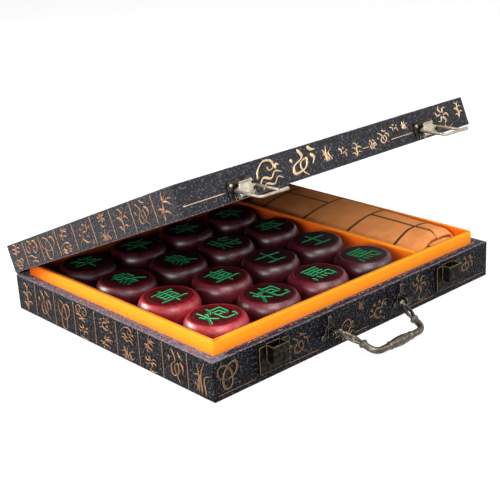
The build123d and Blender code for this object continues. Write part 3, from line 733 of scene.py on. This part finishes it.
def stops_across():
    """Where the sheet needs points: down its tucked side, along each leg, close round bends."""
    total = SHEET_ACROSS - SIDE_TUCK
    stops, start = [-SIDE_TUCK * k / PER_TUCK for k in range(PER_TUCK, 0, -1)], 0.0
    while start < total:
        leg = [start + 2 * HALF_ACROSS * k / PER_LEG for k in range(PER_LEG)]
        leg += [start + 2 * HALF_ACROSS + BEND * k / PER_BEND for k in range(PER_BEND)]
        stops += [stop for stop in leg if stop < total]
        start += LEG
    return stops + [total]


def stops_along():
    stops = [0.0]
    for sign, layers in ((-1, 2.0), (1, 1.0)):
        bend = layers * PLY * math.pi / 2
        flap = SHEET_ALONG / 2 - HALF_ALONG - bend
        half = [HALF_ALONG * (k / PER_HALF) for k in range(1, PER_HALF + 1)]
        half += [HALF_ALONG + bend * k / PER_END for k in range(1, PER_END + 1)]
        half += [HALF_ALONG + bend + flap * k / PER_FLAP for k in range(1, PER_FLAP + 1)]
        stops += [sign * stop for stop in half]
    return sorted(stops)


def suede():
    """Printed suede: tan nap with a dark grid, read from the sheet's own flat coordinates."""
    s = Shader("suede")
    flat = s.node("UVMap", uv_map="flat")
    across, along, _ = s.node("SeparateXYZ", {0: flat}, None)
    lines = []
    for value, shift in ((across, GRID_S), (along, RIVER_Y + GRID / 2)):
        cell = s.maths("DIVIDE", s.maths("SUBTRACT", value, shift), GRID)
        off = s.maths("ABSOLUTE", s.maths("SUBTRACT", cell, s.maths("ROUND", cell)))
        lines.append(s.span(off, 0.02, 0.034, 1.0, 0.0))
    band = s.maths("ABSOLUTE", s.maths("SUBTRACT", along, RIVER_Y))
    long_line = s.maths("MULTIPLY", lines[0], s.maths("GREATER_THAN", band, GRID / 2))
    nap = s.noise(0.7 * MM, 4.0, 0.7)
    colour = s.mix(s.span(s.noise(14 * MM, 3.0, 0.6), 0.3, 0.7), "e08a4a", "f0a060")
    colour = s.mix(s.span(nap, 0.35, 0.75, 0.0, 0.4), colour, "c87236")
    # Painted shade: darker brown where other surfaces close in over the sheet, as under the lid.
    colour = s.mix(s.span(s.hollow(60 * MM), 0.1, 0.6, 0.7, 0.0), colour, "8c3c12")
    ink = s.maths("MULTIPLY", s.maths("MAXIMUM", long_line, lines[1]), 0.94)
    return s.finish(
        base_color=s.mix(ink, colour, "1e0d05"), roughness=0.92, normal=s.bump(nap, 0.12 * MM),
        sheen_weight=0.25, sheen_roughness=0.5, sheen_tint="f0a060", specular_ior_level=0.2,
    )


def crown_lift(x):
    """How far the top rises above its left edge: a parabola through three known heights."""
    half = BUNDLE_HALF[0]
    a = (SHOULDER + FAR - 2 * CROWN) / (2 * half * half)
    b = (FAR - SHOULDER) / (2 * half)
    x = within(x, -half, half)
    edge = max(0.0, (x - half + FAR_ROUND) / FAR_ROUND)
    return a * x * x + b * x + CROWN - SHOULDER - FAR_DROP * edge ** 2


def sheet_point(s, t):
    """Where the folded sheet carries its flat point (s, t); the top's shape fades downward."""
    x, depth, heading = across_fold(s)
    y, layer = along_fold(t)
    shift = (layer - 1) * PLY
    x -= math.sin(heading) * shift
    z = TOP - depth - math.cos(heading) * shift + PLY
    share = within((z - BUNDLE_LOW[2]) / (TOP - BUNDLE_LOW[2]))
    z += max(0.0, crown_lift(x)) * share ** 1.5
    step = FRONT_STEP * min(1.0, (1.15 + x / HALF_ACROSS) / 1.15) if y < 0 else BACK_STEP
    y -= step * within(1.6 - depth / FOLD) * y / HALF_ALONG
    roll = within((abs(t) - HALF_ALONG + END_ROLL) / END_ROLL)
    z -= END_DROP * (1 - math.sqrt(max(0.0, 1 - roll * roll))) * share
    pinch = PINCH * math.exp(-(((x + BUNDLE_MIDDLE[0] - PINCH_X) / PINCH_WIDTH) ** 2))
    z -= pinch * roll * share
    y -= math.copysign(pinch * roll * share, y)
    z -= FRONT_SINK * max(0.0, x / HALF_ACROSS) ** 2 * max(0.0, -y / HALF_ALONG) * share
    z += RIPPLE * wander(x, y, z, RIPPLE_GRAIN, 0.4) * share
    return x + BUNDLE_MIDDLE[0], y + BUNDLE_MIDDLE[1], z


def playing_sheet():
    """One sheet: its ends folded under, then folded side to side and laid in its compartment."""
    across, along = stops_across(), stops_along()
    flat = [(s, t) for s in across for t in along]
    verts = [sheet_point(s, t) for s, t in flat]
    faces = quads(len(across), len(along), ring=False)
    made = mesh_object("playing_sheet", verts, faces, suede(), "board")
    layer = made.data.uv_layers.new(name="flat")
    for loop in made.data.loops:
        layer.data[loop.index].uv = flat[loop.vertex_index]
    thick = made.modifiers.new("suede", "SOLIDIFY")
    thick.thickness, thick.offset = SUEDE, 0.0
    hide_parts("board_bundle")


# --- Ornament on the leatherette ---
# Thin foil lines divide the covering into columns that run from side to side over the whole
# box, and loose brushed figures lie between them.
COLUMNS = 9
MARKS = [-HALF_Y + 2 * HALF_Y * k / COLUMNS for k in range(COLUMNS + 1)]
COLUMN_ENDS = list(zip(MARKS, MARKS[1:]))
LINE_W, LINE_H, LINE_STEPS = 0.62 * MM, 0.2 * MM, 12
STROKE_H, CURVE_STEPS = 0.32 * MM, 5
BURY = 0.06 * MM  # how far a stroke's edges go into the covering
THIN = 0.5 * MM  # a stroke narrower than this is lower too
PEN, FLAT_BRUSH = np.array((0.5, -0.87)), 0.6  # the brush is widest when it moves this way
HEAD, TAIL = 0.75, 0.25  # a stroke's width at its ends, as a share of its body's
SWEEP_U, SWEEP, SWEEP_W = -30 * MM, 14 * MM, 2.5 * MM  # a very large flourish on the lid's front
DRAW = random.Random(41)

# Strokes in hundredths of a figure's half width and half height.
FIGURE_PATHS = {
    "cloud": (
        "0 55 -35 90 -85 70 -95 20 -60 -10 -25 12 -42 42 -62 30, "
        "0 55 35 92 85 75 95 25 60 -8 25 15 42 42 62 32, -98 -45 -40 -32 30 -50 98 -36, "
        "-50 -85 10 -74 70 -88"
    ),
    "leaves": (
        "-30 -100 0 -55 -5 10 20 60 60 95, -15 -75 -55 -46.5 -95 -50, "
        "0 -50 42.5 -31.5 85 -45, -5 -10 -50 21 -95 20, 0 20 47.5 33.5 95 15, "
        "15 50 -22.5 83.5 -60 85"
    ),
    "flourish": (
        "-55 95 -10 35 -60 -10 -40 -62 30 -40 25 20 -15 0 10 -55 60 -95, "
        "20 95 50 70 85 62, 50 40 85 10 80 -30, -95 45 -80 15"
    ),
    "bamboo": (
        "-37 -100 -40 -72.5 -30.4 -45, -29.2 -35 -32.2 -7.5 -22.6 20, "
        "-21.4 30 -24.4 62.5 -13.6 95, -20 28 27.5 26.5 75 5, -20 30 37.5 50 95 50, "
        "-20 30 15 70 50 90, -30 -38 -62.5 -46.5 -95 -75, -30 -36 -65 -18 -100 -20, "
        "-25 -40 15 -40 55 -60"
    ),
    "waves": (
        "-95 -85 -50 -55 0 -85 50 -55 95 -85, -95 -40 -50 -10 0 -40 50 -10 95 -40, "
        "-95 0 -60 55 5 90 60 65 55 20 15 15 12 45, 60 0 80 30 98 12"
    ),
    "twig": (
        "-95 -60 -45 -35 -20 15, -20 15 35 20 50 70 95 95, -45 -35 10 -70 60 -60, "
        "-88 -10 -75 3 -61 -14, -63 35 -50 48 -36 31, -8 60 5 73 19 56, 62 35 75 48 89 31, "
        "22 -30 35 -17 49 -34, 72 -85 85 -72 99 -89"
    ),
    "grass": (
        "-49 -95 -39 5 -98 -10, -30 -95 -40 5 -60 70, 5 -95 -20 5 10 100, "
        "47.5 -95 17.5 5 95 50, -75 -50 -60 -62, 65 -60 80 -45"
    ),
    "petals": "-90 75 -30 35 -55 -25, 0 95 35 60, -25 -15 45 5 65 -85, 70 50 95 20",
    "blossom_stalk": "-10 -60 -20 -80 10 -100 80 -85",
}


def blossom_petals():
    """Six brushed petals round a middle."""
    middle = np.array((0.05, 0.25))
    for angle in (k * math.pi / 3 + 0.4 for k in range(6)):
        way = np.array((math.cos(angle), math.sin(angle)))
        bulge = 0.22 * np.array((-way[1], way[0]))
        yield [middle + 0.16 * way, middle + 0.5 * way + bulge, middle + 0.78 * way]


def knot():
    """A three-lobed knot of one closed cord."""
    for a in (2 * math.pi * k / 24 for k in range(25)):
        x, y = math.sin(a) + 2 * math.sin(2 * a), math.cos(a) - 2 * math.cos(2 * a)
        yield x / 2.8, y / 2.8


FIGURES = {name: paths(text, 100) for name, text in FIGURE_PATHS.items()}
FIGURES["blossom"] = [*blossom_petals(), *FIGURES["blossom_stalk"]]
FIGURES["knot"] = [list(knot())]
LARGE = tuple("cloud leaves flourish bamboo waves twig knot blossom grass".split())
SMALL = ("petals", "leaves", "flourish", "grass")
LARGE_FROM = 5 * MM  # half a figure's width
RIM_STROKE, METAL_ROOM = 0.95 * MM, 1.2 * MM
DECKS = {LARGE: [], SMALL: []}  # figures still to be dealt before any is used again


def vary(low, high):
    return DRAW.uniform(low, high)


def vary_mm(low, high):
    return vary(low, high) * MM


def curve_through(points, steps=CURVE_STEPS):
    """Catmull-Rom curve through given points."""
    points = [np.array(point, float) for point in points]
    if len(points) < 3:
        a, b = points
        return [a + (b - a) * k / steps for k in range(steps + 1)]
    ends = [2 * points[0] - points[1], *points, 2 * points[-1] - points[-2]]
    made = []
    for p0, p1, p2, p3 in zip(ends, ends[1:], ends[2:], ends[3:]):
        for k in range(steps):
            t = k / steps
            made.append(0.5 * (2 * p1 + (p2 - p0) * t + (2 * p0 - 5 * p1 + 4 * p2 - p3) * t ** 2
                               + (3 * p1 - p0 - 3 * p2 + p3) * t ** 3))
    return made + [ends[-2]]


class Strokes:
    """Ribbons with a rounded section on one flat side of the box, gathered into one mesh.

    The side has its own u and v, and a side of the lid opens with the lid.
    """

    SECTION = ((-0.5, 0.0), (-0.34, 0.72), (0.0, 1.0), (0.34, 0.72), (0.5, 0.0))

    def __init__(self, origin, u, v, on_lid):
        self.side = origin, u, v, on_lid
        self.origin, self.u, self.v = Vector(origin), Vector(u), Vector(v)
        self.out, self.on_lid = self.u.cross(self.v), on_lid
        self.verts, self.faces, self.middle = [], [], []

    def point(self, u, v, height):
        place = self.origin + self.u * u + self.v * v + self.out * height
        return LID_TURN @ (place - LID_AXIS) + LID_AXIS if self.on_lid else place

    def ribbon(self, line, widths, height, pen=0.0):
        first, per = len(self.verts), len(self.SECTION)
        for k, (place, width) in enumerate(zip(line, widths)):
            way = line[min(len(line) - 1, k + 1)] - line[max(0, k - 1)]
            way = way / (np.linalg.norm(way) or 1)
            side = np.array((-way[1], way[0]))
            width = width * (1 - pen + 1.5 * pen * abs(way @ PEN))
            for across, up in self.SECTION:
                u, v = place + side * across * width
                rise = (height + BURY) * up * min(1, width / THIN) - BURY
                self.verts.append(self.point(u, v, rise))
                self.middle.append(up)
        self.faces += quads(len(line), per, first=first)
        last = len(self.verts) - per
        self.faces.append(tuple(range(first, first + per)))
        self.faces.append(tuple(reversed(range(last, last + per))))

    def brush(self, points, width):
        """A brushed stroke: full in its body, with a blunt head and a thinner tail."""
        line = curve_through(points)
        count = len(line) - 1
        widths = []
        for k in range(count + 1):
            t = k / count
            body = HEAD + (1 - HEAD) * math.sin(math.pi * min(1, t * 1.6) / 2)
            fade = 1 - (1 - TAIL) * t ** 1.8
            cap = min(1, math.sqrt(1 - (1 - min(1, t * count / 1.2)) ** 2) + 0.35)
            widths.append(width * body * fade * cap)
        self.ribbon(line, widths, STROKE_H, FLAT_BRUSH)

    def rule(self, start, end):
        line = curve_through([start, end], LINE_STEPS)
        self.ribbon(line, [LINE_W] * len(line), LINE_H)

    def figure(self, centre, half_u, half_v, width, turn, limits):
        """Draws the next figure, kept within its limits."""
        cos, sin = math.cos(turn), math.sin(turn)
        names = LARGE if half_u > LARGE_FROM else SMALL
        if not DECKS[names]:
            DECKS[names] = DRAW.sample(names, len(names))
        for points in FIGURES[DECKS[names].pop()]:
            placed = []
            for x, y in points:
                u = centre[0] + half_u * (x * cos - y * sin)
                v = centre[1] + half_v * (x * sin + y * cos)
                placed.append((within(u, *limits[0]), within(v, *limits[1])))
            self.brush(placed, width * vary(0.75, 1.3))

    def build(self, name, material, body):
        made = mesh_object(name, self.verts, self.faces, material, body)
        point_values(made, "middle", self.middle)


ONE_LARGE, TWO_SMALLER = 0.45, 0.92  # shares of the side columns with one figure and with two


def decorate_side(strokes, depth):
    """Lines up the face between the columns, and one or two figures in most columns."""
    for mark in MARKS[1:-1]:
        strokes.rule((mark, 0.9 * MM), (mark, depth - 0.9 * MM))
    for left, right in COLUMN_ENDS:
        limits = ((left + 2 * MM, right - 2 * MM), (1.4 * MM, depth - 1.2 * MM))
        middle = (left + right) / 2 + vary_mm(-1.6, 1.6)
        kind = DRAW.random()
        if kind < ONE_LARGE:  # level and half height in the depth, and half width
            spots = [(0.5, 0.42, vary_mm(6.0, 8.8))]
        elif kind < TWO_SMALLER:
            spots = [(0.74, 0.22, vary_mm(4.5, 7.5)), (0.25, 0.2, vary_mm(4.5, 8.0))]
        else:
            spots = [(0.32, 0.2, vary_mm(3.4, 4.6))]
        for level, tall, wide in spots:
            centre = (middle + vary_mm(-1.5, 1.5), depth * level)
            width = vary_mm(1.05, 1.35)
            strokes.figure(centre, wide, depth * tall, width, vary(-0.15, 0.15), limits)


def decorate_long(strokes, depth, line_v, taken, bold, crowd, sweep=None):
    """Figures along a long face, and a line low down that stops short of whatever is on it.

    crowd is the share of large figures. Where sweep is given, a very large flourish has its
    middle there, and the face is plain left of its first metalwork.
    """
    edge, margin, gap = HALF_X - 3 * MM, 1.2 * MM, 8 * MM
    taken, plain_to = list(taken), -HALF_X
    if sweep is not None:
        plain_to = taken[0][0]
        for points in FIGURES["flourish"]:
            strokes.brush([(sweep + SWEEP * (0.8 * x + 0.35 * y), depth * (0.5 + 0.45 * y))
                           for x, y in points], SWEEP_W)
        taken.append((sweep - SWEEP - MM, sweep + SWEEP + MM))
    spans = list(taken)
    u = -edge
    while u < edge:
        big = DRAW.random() < crowd
        wide = (vary_mm(6.5, 9.5) if big else vary_mm(2.8, 4.8)) * bold
        tall = min(wide * vary(0.85, 1.15), depth * 0.43)
        inside = [high for low, high in taken if low - gap < u < high]
        if inside:
            u = max(inside) + vary_mm(0.4, 3)
            continue
        room = min([low for low, _ in taken if low > u] + [edge]) - u
        if room < gap:
            break
        wide = min(wide, room / 2)
        tall = min(tall, wide * 1.3)
        low, high = u, u + 2 * wide
        level = vary(tall + margin, depth - tall - margin)
        limits = ((low, high), (MM, depth - MM))
        plain = u < plain_to  # its figure is dealt and left out
        target = Strokes(*strokes.side) if plain else strokes
        width = vary_mm(1.1, 1.4) * (1.25 if big else 1.0) * bold ** 0.5
        target.figure((u + wide, level), wide, tall, width, vary(-0.3, 0.3), limits)
        if not plain and abs(level - line_v) < tall + 0.8 * MM:
            spans.append((low - 0.5 * MM, high + 0.5 * MM))
        u = high + vary_mm(1.5, 8.0)
    start = -edge
    for low, high in sorted(spans) + [(edge, edge)]:
        if low - start > 4 * MM:
            strokes.rule((start, line_v), (low, line_v))
        start = max(start, high)


def decorate_top(strokes):
    """The lid's top: columns from side to side, with figures strewn along them."""
    for mark in MARKS[1:-1]:
        strokes.rule((-HALF_X + MM, mark), (HALF_X - MM, mark))
    for left, right in COLUMN_ENDS:
        u = -HALF_X + vary_mm(5, 14)
        while u < HALF_X - 16 * MM:
            wide = vary_mm(3.6, 7.6)
            centre = (u + wide, (left + right) / 2 + vary_mm(-1.5, 1.5))
            limits = ((u, u + 2 * wide), (left + 2 * MM, right - 2 * MM))
            tall, width = vary(0.8, 1.0) * 8 * MM, vary_mm(1.05, 1.45)
            strokes.figure(centre, wide, tall, width, vary(-0.3, 0.3), limits)
            u += 2 * wide + vary_mm(2, 13)


def decorate_rim(strokes):
    """The base's rim: the columns' lines turn over it, and cut-off ends of figures lie on it."""
    inner_x = corners("tray_right_wall")[1][0] + 0.4 * MM
    inner_y = corners("tray_back_wall")[1][1] + 0.4 * MM
    for side in (-1, 1):
        for mark in MARKS[1:-1]:
            strokes.rule((side * inner_x, mark), (side * (HALF_X - 0.8 * MM), mark))
        for left, right in COLUMN_ENDS:
            for _ in range(DRAW.choice((0, 2, 3))):
                v = vary(left + 3 * MM, right - 3 * MM)
                u = vary(inner_x + MM, HALF_X - 2 * MM)
                tip = (side * (u + vary_mm(-1.5, 1.5)), v + vary_mm(1.2, 3))
                strokes.brush([(side * u, v), tip], RIM_STROKE)
        u = -inner_x + 4 * MM
        while u < inner_x - 4 * MM:
            v = vary(inner_y + 0.7 * MM, inner_y + 2.6 * MM)
            tip = (u + vary_mm(1.4, 4.2), v + vary_mm(-0.6, 0.9))
            strokes.brush([(u, side * v), (tip[0], side * tip[1])], RIM_STROKE)
            u = tip[0] + DRAW.choice((0.9, 1.3, 6.0)) * MM


def metal_spans(*stems):
    """Stretches along X that metalwork covers, with a little room to each side."""
    boxes = [corners(name) for name in both(*stems)]
    return [(low[0] - METAL_ROOM, high[0] + METAL_ROOM) for low, high in boxes]


FRONT, BACK, LEFT, RIGHT, UP = (0, -1, 0), (0, 1, 0), (-1, 0, 0), (1, 0, 0), (0, 0, 1)
BODIES = (  # name, lower edge, depth, line's height, front's metalwork, boldness, crowd and sweep
    ("base", 0.0, RIM_Z, 3.6 * MM, ("keeper", "handle_post"), (1.0, 0.75)),
    ("lid", LID_LOW, LID_DEPTH, 6.2 * MM, ("latch_plate",), (1.15, 0.45, SWEEP_U)),
)


def ornament():
    copper = foil("foil_copper", "dca472", "4e3222", 0.8)
    bronze = foil("foil_bronze", "b88a60", "2e1c12", 0.85)
    gold = foil("foil_gold", "dec29e", "a88660", 0.45)
    for body, low, depth, line_v, metalwork, style in BODIES:
        on_lid = body == "lid"
        for name, x, along in (("left", -HALF_X, FRONT), ("right", HALF_X, BACK)):
            strokes = Strokes((x, 0, low), along, UP, on_lid)
            decorate_side(strokes, depth)
            strokes.build(f"{body}_{name}_ornament", copper, body)
        strokes = Strokes((0, -HALF_Y, low), RIGHT, UP, on_lid)
        decorate_long(strokes, depth, line_v, metal_spans(*metalwork), *style)
        strokes.build(f"{body}_front_ornament", gold if on_lid else bronze, body)
        strokes = Strokes((0, HALF_Y, low), LEFT, UP, on_lid)
        taken = [(-high, -low) for low, high in metal_spans(f"hinge_{body}_leaf")]
        decorate_long(strokes, depth, line_v, taken, 1.0, 0.5)
        strokes.build(f"{body}_back_ornament", bronze, body)
    strokes = Strokes((0, 0, LID_LOW + LID_DEPTH), RIGHT, BACK, True)
    decorate_top(strokes)
    strokes.build("lid_top_ornament", gold, "lid")
    strokes = Strokes((0, 0, RIM_Z), RIGHT, BACK, False)
    decorate_rim(strokes)
    strokes.build("base_rim_ornament", copper, "base")


bpy.context.scene.view_settings.view_transform = "Standard"
make_camera()
make_world()
make_lamps()
make_floor()
dress_nodes()
playing_pieces()
playing_sheet()
ornament()
